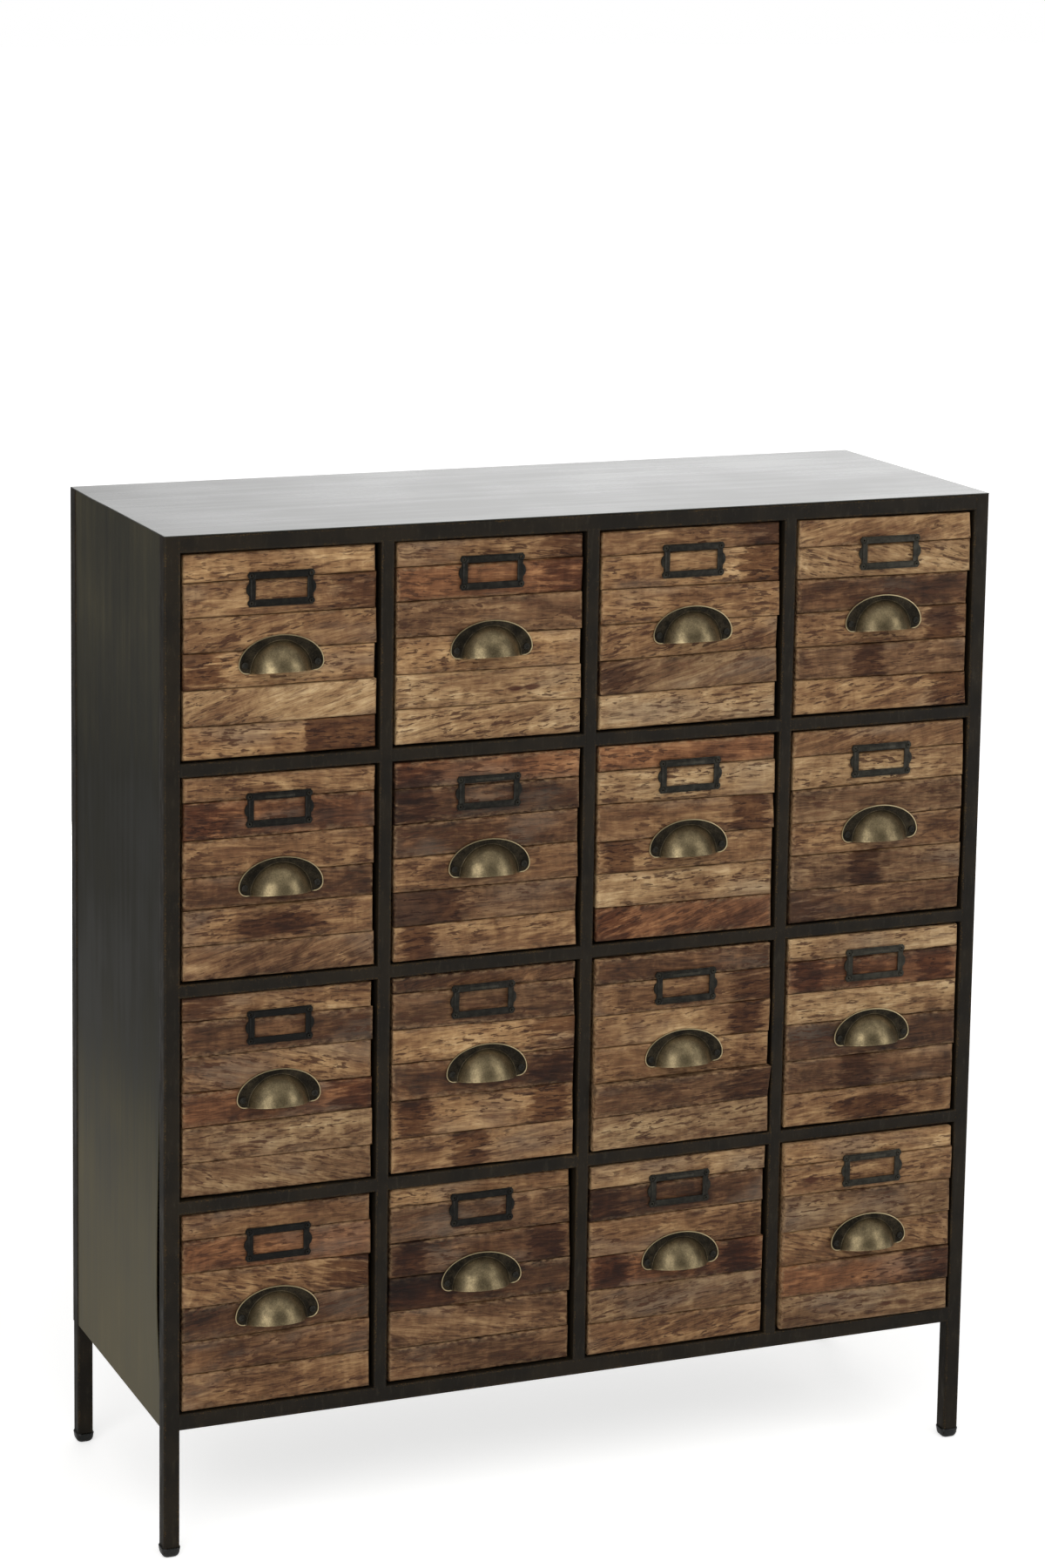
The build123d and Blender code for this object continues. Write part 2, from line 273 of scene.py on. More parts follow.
# Knots: the place and squeeze along and up the plank; of two knots, half the share between them
two_knots_place = (0.68, 0.42)
two_knots_squeeze = (0.55, 1.4)
two_knots_apart = 0.05
two_knots_radius = 5 * mm
one_knot_place = (0.16, 0.5)
one_knot_squeeze = (0.6, 1.3)
one_knot_radius = 6 * mm
far_from_knots = Vector((9, 9, 9))

# Each front's planks from the top down: a tone, then any marks
plank_looks = (
    (
        "honey tan+smoke_right tan+figured honey+smoke_left pale+figured honey+stain_right",
        "tan+smoke_right rust+smoke_right clay honey pale+knots pale+figured",
        "tan+smoke_right honey+smoke_right honey tan+figured ash+figured+smoke_left pale",
        "tan+figured pale+figured umber tan+blotch_right clay+blotch_middle tan+figured+smoke_right",
    ),
    (
        "tan rust+smoke_left tan umber tan+flame clay+figured",
        "rust+smoke_left umber+smoke_left umber tan clay+stain_left tan+blotch_left",
        "rust pale tan+blotch_right tan+blotch_left pale rust+figured+smoke_left",
        "tan+figured pale ash tan ash+blotch_middle clay+smoke_left",
    ),
    (
        "tan+smoke_left umber tan+figured rust+smoke_right ash ash+figured",
        "umber+figured clay honey+smoke_right umber+smoke_right honey+blotch_left+blotch_right "
        "tan+blotch_middle",
        "umber tan+smoke_right tan+blotch_right tan clay+smoke_right ash",
        "pale rust+blotch_left+blotch_right pale umber clay+blotch_middle tan+flame",
    ),
    (
        "tan rust tan+figured+smoke_right umber+figured umber tan",
        "tan clay umber+blotch_left+blotch_right umber+stain_left clay+figured clay",
        "pale umber+smoke_left tan rust+blotch_left+blotch_right ash+figured tan+figured",
        "honey tan+knot ash tan+figured rust+smoke_right ash+knots",
    ),
)

# Label holders whose top bar shows the tab of the card slot
tabbed_holders = "r2c1 r2c2 r2c3 r2c4 r3c2 r3c3 r3c4 r4c3 r4c4".split()


def paint(code):
    """A colour written as six hex digits, as the linear colour that a shader takes."""
    shares = [int(code[place : place + 2], 16) / 255 for place in (0, 2, 4)]
    return [share / 12.92 if share < 0.04 else ((share + 0.055) / 1.055) ** 2.4 for share in shares] + [1]


class Finish:
    """A procedural finish, put together node by node, for a material or for the world."""

    def __init__(self, name, world=False):
        self.owner = (bpy.data.worlds if world else bpy.data.materials).new(name)
        self.owner.use_nodes = True
        self.tree = self.owner.node_tree
        self.shader = self.tree.nodes["Background" if world else "Principled BSDF"]

    def feed(self, socket, value):
        if isinstance(value, bpy.types.NodeSocket):
            self.tree.links.new(value, socket)
        else:
            socket.default_value = value

    def set(self, name, value):
        self.feed(self.shader.inputs[name], value)

    def node(self, kind, inputs, output=0, **settings):
        made = self.tree.nodes.new("ShaderNode" + kind)
        for setting, value in settings.items():
            setattr(made, setting, value)
        for name, value in inputs.items():
            self.feed(made.inputs[name], value)
        return made.outputs[output]

    def place(self):
        return self.node("TexCoord", {}, "Object")

    def told(self, name, output="Fac"):
        """What the piece itself says at each vertex under a name."""
        return self.node("Attribute", {}, output, attribute_name=name)

    def stretch(self, place, shares):
        return self.node("VectorMath", {0: place, 1: shares}, operation="MULTIPLY")

    def noise(self, place, scale, detail=3.0, rough=0.5, swirl=0.0):
        inputs = {"Vector": place, "Scale": scale, "Detail": detail, "Roughness": rough, "Distortion": swirl}
        return self.node("TexNoise", inputs)

    def sum(self, first, second):
        return self.node("Math", {0: first, 1: second}, operation="ADD")

    def times(self, first, second):
        return self.node("Math", {0: first, 1: second}, operation="MULTIPLY")

    def layered(self, base, *layers):
        """A base value, moved up and down by noises, each with its weight."""
        for layer, weight in layers:
            base = self.sum(base, self.times(self.sum(layer, -0.5), weight))
        return base

    def between(self, value, low, high, to_low=0.0, to_high=1.0):
        """The value's way from low to high, eased at both ends."""
        inputs = {"Value": value, "From Min": low, "From Max": high, "To Min": to_low, "To Max": to_high}
        return self.node("MapRange", inputs, interpolation_type="SMOOTHSTEP")

    def ramp(self, value, stops):
        made = self.tree.nodes.new("ShaderNodeValToRGB")
        self.feed(made.inputs[0], value)
        elements = made.color_ramp.elements
        while len(elements) < len(stops):
            elements.new(0.5)
        for element, (position, colour) in zip(elements, stops):
            element.position = position
            element.color = paint(colour)
        return made.outputs[0]

    def blend(self, share, under, over, how="MIX"):
        return self.node("Mix", {0: share, 6: under, 7: over}, 2, data_type="RGBA", blend_type=how)

    def part_way(self, share, under, over):
        return self.node("Mix", {0: share, 2: under, 3: over}, 0, data_type="FLOAT")

    def bump(self, height, depth, strength=1.0, under=None):
        inputs = {"Height": height, "Distance": depth, "Strength": strength}
        if under is not None:
            inputs["Normal"] = under
        return self.node("Bump", inputs)


def plank_wood():
    """Reclaimed planks: grain, flecks, patina, stains, knots, seam grime with painted shade, and rubbed edges
    partly painted as highlights, over each plank's own tone.
    """
    wood = Finish("reclaimed_planks")
    grain = wood.told("grain", "Vector")
    broad = wood.noise(wood.stretch(grain, (0.3, 1, 1)), 24, 2)
    mottle = wood.noise(wood.stretch(grain, (0.3, 1, 1)), 62, 5, 0.65, 1.2)
    streak = wood.noise(wood.stretch(grain, (0.055, 1, 1)), 380, 4, 0.6, 0.4)
    fibre = wood.noise(wood.stretch(grain, (0.035, 1, 1)), 1300, 3, 0.6)
    smear = wood.noise(wood.stretch(grain, (1, 1, 0.3)), 70, 4, 0.6, 0.5)
    layers = ((broad, 0.7), (mottle, 1.0), (streak, 0.5), (fibre, 0.4), (smear, 0.45))
    tone = wood.layered(wood.told("tone"), *layers)
    brown = (
        (0.0, "26170e"),
        (0.25, "4d331e"),
        (0.5, "7b5b3d"),
        (0.75, "a5865f"),
        (1.0, "ccb188"),
    )
    colour = wood.ramp(tone, brown)
    colour = wood.blend(1.0, colour, wood.told("tint", "Color"), "MULTIPLY")

    grey = wood.noise(wood.stretch(grain, (0.4, 1, 1)), 16, 3)
    colour = wood.blend(wood.between(grey, 0.52, 0.7, 0.0, 0.35), colour, paint("7a6f61"))
    cluster = wood.noise(wood.stretch(grain, (0.3, 1, 1)), 34, 3)
    smudge = wood.noise(wood.stretch(grain, (0.16, 1, 1)), 130, 5, 0.68, 1.0)
    smudge = wood.times(wood.between(smudge, 0.5, 0.64), wood.between(cluster, 0.6, 0.42))
    colour = wood.blend(wood.times(smudge, 0.5), colour, paint("67432a"))
    dash = wood.noise(wood.stretch(grain, (0.2, 1, 1)), 290, 3, 0.55, 0.5)
    dash = wood.times(wood.between(dash, 0.55, 0.6), wood.between(cluster, 0.37, 0.54))
    colour = wood.blend(wood.times(dash, 0.88), colour, paint("482a18"))
    pore = wood.noise(wood.stretch(grain, (0.08, 1, 1)), 900, 2, 0.5)
    pore = wood.times(wood.between(pore, 0.57, 0.66), wood.between(mottle, 0.6, 0.4))
    colour = wood.blend(wood.times(pore, 0.8), colour, paint("3a2417"))

    ragged = wood.noise(wood.stretch(grain, (0.13, 1, 1)), 190, 5, 0.65)
    stain = wood.between(wood.layered(wood.told("stain"), (ragged, 1.8), (streak, 0.8)), 0.44, 0.7)
    colour = wood.blend(wood.times(stain, 0.9), colour, (0.31, 0.2, 0.14, 1), "MULTIPLY")

    knot = wood.node("VectorMath", {0: wood.told("knot", "Vector")}, "Value", operation="LENGTH")
    knot = wood.between(wood.layered(knot, (ragged, 1.5), (mottle, 1.5)), 0.6, 1.4, 1.0, 0.0)
    colour = wood.blend(wood.times(knot, 0.85), colour, paint("44200f"))
    # Darker along the plank seams: partly grime, partly painted shade where the seams lie in shadow
    grime_and_shade = wood.times(wood.told("grime_and_shade"), wood.between(wood.layered(cluster, (ragged, 0.6)), 0.4, 0.6))
    colour = wood.blend(grime_and_shade, colour, (0.4, 0.3, 0.24, 1), "MULTIPLY")

    # Paler along the edges: partly wear, partly painted highlight on the rounded edges
    chafe = wood.noise(wood.stretch(grain, (0.5, 1, 1)), 240, 4, 0.6)
    worn = wood.times(wood.told("worn"), wood.between(chafe, 0.38, 0.66))
    worn = wood.times(worn, wood.sum(1.0, wood.times(stain, -0.8)))
    colour = wood.blend(wood.times(worn, 0.6), colour, paint("b8966f"))
    wood.set("Base Color", colour)

    wood.set("Roughness", wood.between(wood.sum(streak, wood.times(stain, -0.2)), 0.2, 0.8, 0.7, 0.5))
    wood.set("Specular IOR Level", 0.3)
    saw = wood.node(
        "TexWave",
        {"Vector": grain, "Scale": 55.0, "Distortion": 3.0, "Detail": 2.0, "Detail Scale": 2.0},
        "Fac",
        bands_direction="DIAGONAL",
    )
    relief = wood.bump(saw, saw_relief, 0.3)
    relief = wood.bump(wood.sum(streak, wood.times(dash, -0.5)), grain_relief, 0.7, relief)
    wood.set("Normal", wood.bump(fibre, fibre_relief, 0.55, relief))
    return wood.owner


def frame_paint():
    """Brown-black paint on the tubes, rubbed to bronze specks along the edges."""
    coat = Finish("worn_frame_paint")
    place = coat.place()
    cloud = coat.noise(place, 22, 3)
    colour = coat.blend(coat.between(cloud, 0.35, 0.65), paint("18140e"), paint("211b12"))
    scuff = coat.noise(coat.stretch(place, (1, 1, 0.25)), 160, 4, 0.65)
    colour = coat.blend(coat.between(scuff, 0.54, 0.74, 0.0, 0.5), colour, paint("353024"))
    patch = coat.noise(place, 45, 3)
    rubbed = coat.between(coat.told("worn"), 0.3, 1.0, 0.0, 0.13)
    speck = coat.layered(rubbed, (coat.noise(place, 700, 3, 0.6), 1.0), (patch, 0.3))
    speck = coat.between(speck, 0.17, 0.26)
    colour = coat.blend(coat.times(speck, 0.5), colour, paint("6b5433"))
    coat.set("Base Color", colour)
    coat.set("Metallic", coat.times(speck, 0.6))
    coat.set("Roughness", coat.between(scuff, 0.35, 0.7, 0.58, 0.44))
    coat.set("Specular IOR Level", 0.2)
    relief = coat.bump(cloud, paint_relief, 0.25)
    coat.set("Normal", coat.bump(speck, speck_relief, 0.5, relief))
    return coat.owner


def sheet_finish(name, along, steel, rough, coat, paler_shares):
    """Dark sheet steel, paler towards the bottom and towards the top, with streaks whose way is the stretch of
    each axis.
    """
    sheet = Finish(name)
    place = sheet.place()
    cloud = sheet.noise(place, 5, 3)
    band = sheet.noise(sheet.stretch(place, along), 60, 5, 0.6)
    hair = sheet.noise(sheet.stretch(place, [share * share for share in along]), 1500, 2, 0.6)
    height = sheet.node("SeparateXYZ", {0: place}, "Z")
    low_paling, high_paling = paler_shares
    # Paler towards the bottom and towards the top, set by height alone
    paler_low = sheet.between(height, 0.74, 0.28, 0.0, low_paling)
    paler_high = sheet.between(height, 0.8, 1.1, 0.0, high_paling)
    rubbed = sheet.sum(paler_low, paler_high)
    tone = sheet.layered(sheet.sum(rubbed, 0.44), (cloud, 0.5), (band, 0.32), (hair, 0.2))
    sheet.set("Base Color", sheet.ramp(tone, steel))
    sheet.set("Metallic", 0.4)
    sheet.set("Specular IOR Level", 0.08)
    gloss = sheet.layered(0.5, (band, 0.35), (cloud, 0.5))
    sheet.set("Roughness", sheet.between(gloss, 0.36, 0.64, rough[0], rough[1]))
    sheet.set("Coat Weight", coat)
    sheet.set("Coat Roughness", 0.16)
    relief = sheet.bump(band, band_relief, 0.08)
    sheet.set("Normal", sheet.bump(hair, hair_relief, 0.2, relief))
    return sheet.owner


def aged_brass():
    """Brass that is bright where it is rubbed and brown-black elsewhere."""
    brass = Finish("aged_brass")
    place = brass.place()
    cloud = brass.noise(place, 70, 4, 0.6)
    pit = brass.noise(place, 620, 3, 0.65)
    bright = brass.layered(brass.told("polish"), (cloud, 0.65), (pit, 0.5))
    metal = (
        (0.0, "211e18"),
        (0.25, "484032"),
        (0.5, "776a50"),
        (0.75, "a3926f"),
        (1.0, "cdbb92"),
    )
    brass.set("Base Color", brass.ramp(bright, metal))
    brass.set("Metallic", 0.9)
    brass.set("Roughness", brass.between(bright, 0.1, 0.9, 0.48, 0.3))
    relief = brass.bump(cloud, cloud_relief, 0.3)
    brass.set("Normal", brass.bump(pit, pit_relief, 0.5, relief))
    return brass.owner


def black_iron(name, dark, light):
    """Blackened iron with a faint bloom and small pale rubs, paler on the pieces that say so."""
    iron = Finish(name)
    place = iron.place()
    bloom = iron.noise(place, 140, 4, 0.6)
    rub = iron.noise(place, 900, 3, 0.6)
    shade = iron.layered(iron.told("pale"), (bloom, 0.9))
    colour = iron.blend(iron.between(shade, 0.0, 1.0), paint(dark), paint(light))
    colour = iron.blend(iron.between(rub, 0.62, 0.76, 0.0, 0.4), colour, paint("5e5a4e"))
    iron.set("Base Color", colour)
    iron.set("Metallic", 0.5)
    iron.set("Specular IOR Level", 0.4)
    iron.set("Roughness", iron.between(bloom, 0.3, 0.7, 0.55, 0.38))
    relief = iron.bump(bloom, bloom_relief, 0.3)
    iron.set("Normal", iron.bump(rub, rub_relief, 0.35, relief))
    return iron.owner


def foot_rubber():
    """Glossy black caps with a little dust."""
    rubber = Finish("foot_rubber")
    dust = rubber.noise(rubber.place(), 420, 4, 0.65)
    colour = rubber.blend(rubber.between(dust, 0.58, 0.78, 0.0, 0.35), paint("10110f"), paint("45443f"))
    rubber.set("Base Color", colour)
    rubber.set("Roughness", rubber.between(dust, 0.4, 0.7, 0.2, 0.45))
    rubber.set("Normal", rubber.bump(dust, dust_relief, 0.25))
    return rubber.owner


def box_mesh(low, high):
    """A block between two corners, as a new bmesh."""
    bm = bmesh.new()
    bmesh.ops.create_cube(bm, size=1)
    bmesh.ops.scale(bm, vec=high - low, verts=bm.verts)
    bmesh.ops.translate(bm, vec=(low + high) / 2, verts=bm.verts)
    return bm


def runs_along(edge, axis):
    step = edge.verts[1].co - edge.verts[0].co
    return abs(step[axis]) > aligned_share * step.length


def rise_of(edge):
    return abs(edge.verts[0].co.z - edge.verts[1].co.z)


def round_over(bm, edges, width, segments):
    bmesh.ops.bevel(
        bm,
        geom=edges,
        offset=width,
        offset_type="OFFSET",
        segments=segments,
        profile=0.5,
        affect="EDGES",
        clamp_overlap=True,
        material=-1,
    )


def gather(into, part):
    """Moves everything in one bmesh into another."""
    mesh = bpy.data.meshes.new("gathered")
    part.to_mesh(mesh)
    part.free()
    into.from_mesh(mesh)
    bpy.data.meshes.remove(mesh)


def piece_of(name, bm, material, body, nodes):
    """A finished piece from a bmesh: it rides on a body, has a slot and stands for some CAD nodes."""
    mesh = bpy.data.meshes.new(name)
    bm.to_mesh(mesh)
    bm.free()
    placed(name, mesh, material, body, nodes)


def placed(name, mesh, material, body, nodes):
    """A finished piece from a mesh, as piece_of makes one from a bmesh."""
    mesh.materials.clear()
    mesh.materials.append(material)
    mesh.shade_smooth()
    mesh.set_sharp_from_angle(angle=smooth_below)
    piece = bpy.data.objects.new(name, mesh)
    bpy.context.scene.collection.objects.link(piece)
    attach(piece, body)
    if nodes:
        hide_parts(*nodes)


def dress(node, material):
    """Gives a CAD node that stays in view its finish."""
    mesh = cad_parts[node].data
    mesh.materials.clear()
    mesh.materials.append(material)


def solids_of(node):
    """The corner points of each separate solid in a CAD node."""
    bm = bmesh.new()
    bm.from_mesh(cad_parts[node].data)
    bmesh.ops.remove_doubles(bm, verts=bm.verts, dist=merge_same)
    solids = []
    for start in bm.verts:
        if start.tag:
            continue
        start.tag = True
        solid = [start]
        for vert in solid:
            for edge in vert.link_edges:
                other = edge.other_vert(vert)
                if not other.tag:
                    other.tag = True
                    solid.append(other)
        solids.append([vert.co.copy() for vert in solid])
    bm.free()
    return solids


def corners(points):
    low = Vector([min(point[axis] for point in points) for axis in range(3)])
    high = Vector([max(point[axis] for point in points) for axis in range(3)])
    return low, high


def tube_bar(low, high):
    """A length of square tube with rounded corners, told where its paint is worn."""
    bm = box_mesh(low, high)
    size = high - low
    axis = max(range(3), key=lambda way: size[way])
    round_over(bm, [edge for edge in bm.edges if runs_along(edge, axis)], tube_corner, 3)
    worn = bm.verts.layers.float.new("worn")
    flats = [face for face in bm.faces if face.calc_area() > flat_face_share * size[axis] * min(size)]
    bmesh.ops.inset_individual(bm, faces=flats, thickness=worn_band, use_even_offset=True)
    plain = {vert for face in flats for vert in face.verts}
    for vert in bm.verts:
        vert[worn] = 0.0 if vert in plain else 1.0
    return bm


def tube_frame(name, node, material, welded):
    """The tubes of a CAD node. Welded ones run on a little way into the tubes that they meet."""
    bm = bmesh.new()
    for solid in solids_of(node):
        low, high = corners(solid)
        size = high - low
        axis = max(range(3), key=lambda way: size[way])
        if welded:
            rank = 1 if size.x > long_rail else 2 if axis == 2 else 3
            grow = Vector([-rank * weld_dip] * 3)
            grow[axis] = weld_reach
            low -= grow
            high += grow
        gather(bm, tube_bar(low, high))
    piece_of(name, bm, material, "carcass", [node])


def pressed_sheet(name, node, cuts, shape, material):
    """A sheet in place of a CAD panel, cut into cells and pushed out of true by what shape gives."""
    low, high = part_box(node)
    bm = box_mesh(low, high)
    round_over(bm, list(bm.edges), sheet_lip, 1)
    for axis, count in enumerate(cuts):
        if count:
            size = high[axis] - low[axis]
            lengthwise = [edge for edge in bm.edges if runs_along(edge, axis)]
            long_edges = [edge for edge in lengthwise if edge.calc_length() > size / 2]
            bmesh.ops.subdivide_edges(bm, edges=long_edges, cuts=count, use_grid_fill=True)
    for vert in bm.verts:
        vert.co += shape(vert.co, low, high)
    piece_of(name, bm, material, "carcass", [node])


def hill(value, middle, width):
    """One at the middle, falling smoothly to nothing at width from it."""
    share = min(abs(value - middle) / width, 1)
    return 0.5 + 0.5 * math.cos(math.pi * share)


def ease(value, start, end):
    """Nothing at the start and one at the end, smooth at both."""
    share = min(max((value - start) / (end - start), 0), 1)
    return share * share * (3 - 2 * share)


def stain_at(marks, along, up):
    """How stained a plank is at a place, as shares of its length and height."""
    stain = 0.0
    for mark in marks:
        if mark in stain_ramps:
            start, full, depth = stain_ramps[mark]
            stain = max(stain, depth * ease(along, start, full))
        elif mark in stain_spots:
            middle, width = stain_spots[mark]
            stain = max(stain, spot_depth * hill(along, middle, width))
        elif mark == "flame":
            stain = max(stain, flame_depth * hill(along, *flame_along) * hill(up, *flame_up))
    return stain


def knot_at(marks, along, up, size):
    """Place from the nearest knot in knot radii; far away on a plank with none."""
    if "knots" in marks:
        across = abs(along - two_knots_place[0]) - two_knots_apart
        rise = up - two_knots_place[1]
        squeeze = two_knots_squeeze
        radius = two_knots_radius
    elif "knot" in marks:
        across = along - one_knot_place[0]
        rise = up - one_knot_place[1]
        squeeze = one_knot_squeeze
        radius = one_knot_radius
    else:
        return far_from_knots
    return Vector((across * size.x * squeeze[0], 0, rise * size.z * squeeze[1])) / radius


def wood_layers(bm):
    """The layers in which a wooden piece tells its finish, vertex by vertex, what to show."""
    layers = bm.verts.layers
    told = {name: layers.float_vector.new(name) for name in ("grain", "tint", "knot")}
    for name in ("tone", "stain", "worn", "grime_and_shade"):
        told[name] = layers.float.new(name)
    return told


def worn_plank(points, look, top_tilt, low_tilt, luck):
    """One plank with rounded, uneven edges. It carries its own grain, tone, stains, knots, wear with painted
    edge highlights, and seam grime with painted shade.
    """
    low, high = corners(points)
    size = high - low
    middle = (low + high) / 2
    front_low = min(point.y for point in points if point.z < middle.z)
    front_high = min(point.y for point in points if point.z > middle.z)
    bm = box_mesh(low, high)
    for vert in bm.verts:
        if vert.co.y < middle.y:
            vert.co.y = front_high if vert.co.z > middle.z else front_low
    lengthwise = [edge for edge in bm.edges if runs_along(edge, 0)]
    bmesh.ops.subdivide_edges(bm, edges=lengthwise, cuts=plank_cuts_along, use_grid_fill=True)
    rim = []
    for edge in bm.edges:
        ends = [vert.co for vert in edge.verts]
        at_front = all(end.y < middle.y for end in ends)
        inner = runs_along(edge, 2) and abs(ends[0].x - middle.x) < size.x * plank_inner_share
        if at_front and not inner:
            rim.append(edge)
    round_over(bm, rim, luck.uniform(plank_round_least, plank_round_most), 3)
    upward = [
        edge
        for edge in bm.edges
        if rise_of(edge) > size.z / 2
        and max(vert.co.y for vert in edge.verts) < high.y - plank_back_margin
    ]
    bmesh.ops.subdivide_edges(bm, edges=upward, cuts=plank_cuts_up, use_grid_fill=True)

    tone_word, *marks = look.split("+")
    tone, tint = plank_tones[tone_word]
    tone += luck.uniform(-tone_play, tone_play)
    if "figured" in marks:
        degrees = luck.choice((-1, 1)) * luck.uniform(*grain_turn_figured)
    else:
        degrees = luck.uniform(-grain_turn_plain, grain_turn_plain)
    turn = Matrix.Rotation(math.radians(degrees), 3, "Y")
    shift = Vector([luck.uniform(-grain_play, grain_play) for way in range(3)])
    left_in = luck.uniform(0, left_end_play)
    right_in = luck.uniform(0, right_end_play)
    slant = luck.uniform(-plank_slant, plank_slant)
    told = wood_layers(bm)
    low_grime_and_shade = luck.uniform(*low_grime_and_shade_shares)
    top_grime_and_shade = luck.uniform(*top_grime_and_shade_shares)
    for vert in bm.verts:
        along = (vert.co.x - low.x) / size.x
        up = (vert.co.z - low.z) / size.z
        vert[told["grain"]] = turn @ (vert.co - middle) + shift
        vert[told["tint"]] = tint
        vert[told["knot"]] = knot_at(marks, along, up, size)
        vert[told["tone"]] = tone
        vert[told["stain"]] = stain_at(marks, along, up)
        # Paler towards the edges: wear and painted highlight
        near = min(along * size.x, (1 - along) * size.x, up * size.z, (1 - up) * size.z)
        vert[told["worn"]] = max(1 - near / wear_and_highlight_edge, 0)
        # Darker by the lower and top edges: grime and painted shade at the seams
        grimes_and_shades = (low_grime_and_shade * ease(up, *low_grime_and_shade_rise), top_grime_and_shade * ease(up, *top_grime_and_shade_rise), 0)
        vert[told["grime_and_shade"]] = max(grimes_and_shades)
        top_bite = abs(noise.noise((vert.co.x * edge_wave_pitch, shift.x, 0))) * plank_edge_wave
        low_bite = abs(noise.noise((vert.co.x * edge_wave_pitch, shift.y, 7))) * plank_edge_wave
        if vert.co.y < high.y - plank_face_margin:
            across = vert.co.x * face_wave_pitch[0]
            bulge = noise.noise((across, vert.co.z * face_wave_pitch[1], shift.z))
            vert.co.y += plank_face_wave * (face_wave_lift + bulge)
        vert.co.z += (1 - up) * low_bite - up * top_bite
        vert.co.z += (2 * along - 1) * ((1 - up) * low_tilt + up * top_tilt)
        vert.co.x += (1 - along) * left_in - along * right_in + (up - 0.5) * slant * (1 - 2 * along)
    return bm


def plain_board(low, high, along, luck):
    """A planed board of a drawer box, with its grain along one axis."""
    bm = box_mesh(low, high)
    round_over(bm, list(bm.edges), board_edge, 2)
    turn = Matrix.Rotation(math.radians(90), 3, "Z") if along == 1 else Matrix.Identity(3)
    shift = Vector([luck.uniform(-grain_play, grain_play) for way in range(3)])
    tone, tint = plank_tones["pale"]
    told = wood_layers(bm)
    for vert in bm.verts:
        vert[told["grain"]] = turn @ vert.co + shift
        vert[told["tint"]] = tint
        vert[told["knot"]] = far_from_knots
        vert[told["tone"]] = tone
    return bm


def drawer_wood(place, looks, material, luck):
    """The planks of one front, and behind them the box that carries them."""
    node = f"drawer_case_{place}"
    solids = sorted(solids_of(node), key=lambda solid: corners(solid)[1].y)
    planks = sorted(solids[:planks_per_front], key=lambda solid: -corners(solid)[1].z)
    fronts = bmesh.new()
    lean = luck.uniform(-front_lean, front_lean)
    tilts = [lean] + [lean + luck.uniform(-seam_tilt, seam_tilt) for seam in planks[1:]] + [lean]
    for points, look, top_tilt, low_tilt in zip(planks, looks.split(), tilts, tilts[1:]):
        gather(fronts, worn_plank(points, look, top_tilt, low_tilt, luck))
    piece_of(f"plank_front_{place}", fronts, material, f"drawer_{place}", [node])

    box = bmesh.new()
    low, high = corners(solids[planks_per_front])
    gather(box, plain_board(low, high, 0, luck))
    low, high = corners([point for solid in solids[planks_per_front + 1 :] for point in solid])
    floor_low = low.z + bottom_rise
    floor_high = floor_low + bottom_board
    inner_left = low.x + side_board
    inner_right = high.x - side_board
    gather(box, plain_board(low, Vector((inner_left, high.y, high.z)), 1, luck))
    gather(box, plain_board(Vector((inner_right, low.y, low.z)), high, 1, luck))
    floor_start = Vector((inner_left - groove_depth, low.y, floor_low))
    floor_end = Vector((inner_right + groove_depth, high.y, floor_high))
    gather(box, plain_board(floor_start, floor_end, 1, luck))
    back_start = Vector((inner_left, high.y - back_board, floor_high))
    gather(box, plain_board(back_start, Vector((inner_right, high.y, high.z)), 0, luck))
    piece_of(f"drawer_box_{place}", box, material, f"drawer_{place}", [node])


